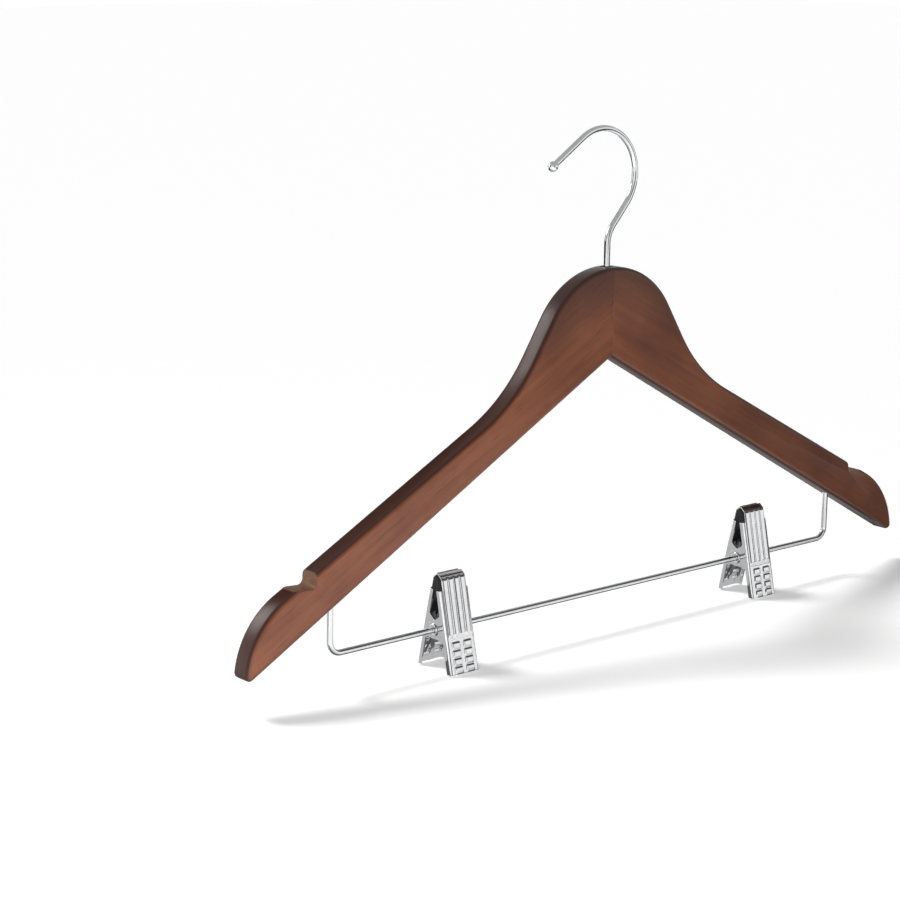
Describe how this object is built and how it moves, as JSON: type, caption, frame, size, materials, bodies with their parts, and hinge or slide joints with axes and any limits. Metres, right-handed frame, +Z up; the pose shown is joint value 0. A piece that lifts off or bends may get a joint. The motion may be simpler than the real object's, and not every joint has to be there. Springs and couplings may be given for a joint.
{
  "type": "skirt hanger",
  "caption": "Flat wooden clothes hanger with swivelling wire hook, notched shoulders, wire trouser bar and sprung skirt clips that slide and turn on the bar.",
  "frame": {"origin": "inside top of the hook on its swivel axis, where a closet rail carries the hanger", "axes": "+X along the arms to the right as seen from the front, +Y from front to back, +Z up along the hook's shank"},
  "size_m": [0.4474, 0.0278, 0.2581],
  "materials": {
    "stained_wood": "dark walnut stain under satin lacquer",
    "bare_wood": "turned, unfinished",
    "plated_wire": "bright chrome plated drawn wire",
    "plated_sheet": "bright chrome plated pressed sheet",
    "zinc_steel": "zinc plated, turned",
    "spring_steel": "drawn spring wire",
    "black_rubber": "moulded, matte"
  },
  "bodies": {
    "hook_body": {"hook": "plated_wire", "hook_washer": "zinc_steel"},
    "hanger_body": {"left_arm": "stained_wood", "right_arm": "stained_wood", "upper_dowel": "bare_wood", "lower_dowel": "bare_wood", "hook_bush": "zinc_steel", "trouser_bar": "plated_wire"},
    "left_clip_slider": {"left_clip_sleeve": "plated_sheet"},
    "left_clip_rear": {"left_clip_rear_jaw": "plated_sheet", "left_clip_rear_pad": "black_rubber", "left_clip_spring": "spring_steel"},
    "left_clip_front": {"left_clip_front_jaw": "plated_sheet", "left_clip_front_pad": "black_rubber"},
    "right_clip_slider": {"right_clip_sleeve": "plated_sheet"},
    "right_clip_rear": {"right_clip_rear_jaw": "plated_sheet", "right_clip_rear_pad": "black_rubber", "right_clip_spring": "spring_steel"},
    "right_clip_front": {"right_clip_front_jaw": "plated_sheet", "right_clip_front_pad": "black_rubber"}
  },
  "joints": [
    {"name": "hook_swivel", "type": "hinge", "parent": "hook_body", "child": "hanger_body", "pos_m": [0, 0, -0.066], "axis": [0, 0, 1], "continuous": true},
    {"name": "left_clip_slide", "type": "slide", "parent": "hanger_body", "child": "left_clip_slider", "axis": [1, 0, 0], "range_m": [-0.0514, 0.0886]},
    {"name": "left_clip_turn", "type": "hinge", "parent": "left_clip_slider", "child": "left_clip_rear", "pos_m": [-0.1006, 0, -0.2336], "axis": [1, 0, 0], "continuous": true},
    {"name": "left_clip_open", "type": "hinge", "parent": "left_clip_rear", "child": "left_clip_front", "pos_m": [-0.1006, 0, -0.2336], "axis": [1, 0, 0], "range_deg": [0, 40], "stiffness_Nm_per_rad": 0.1, "springref_deg": -28.65, "deforming": ["left_clip_spring"]},
    {"name": "right_clip_slide", "type": "slide", "parent": "hanger_body", "child": "right_clip_slider", "axis": [1, 0, 0], "range_m": [-0.0989, 0.0411]},
    {"name": "right_clip_turn", "type": "hinge", "parent": "right_clip_slider", "child": "right_clip_rear", "pos_m": [0.1109, 0, -0.2336], "axis": [1, 0, 0], "continuous": true},
    {"name": "right_clip_open", "type": "hinge", "parent": "right_clip_rear", "child": "right_clip_front", "pos_m": [0.1109, 0, -0.2336], "axis": [1, 0, 0], "range_deg": [0, 40], "stiffness_Nm_per_rad": 0.1, "springref_deg": -28.65, "deforming": ["right_clip_spring"]}
  ]
}
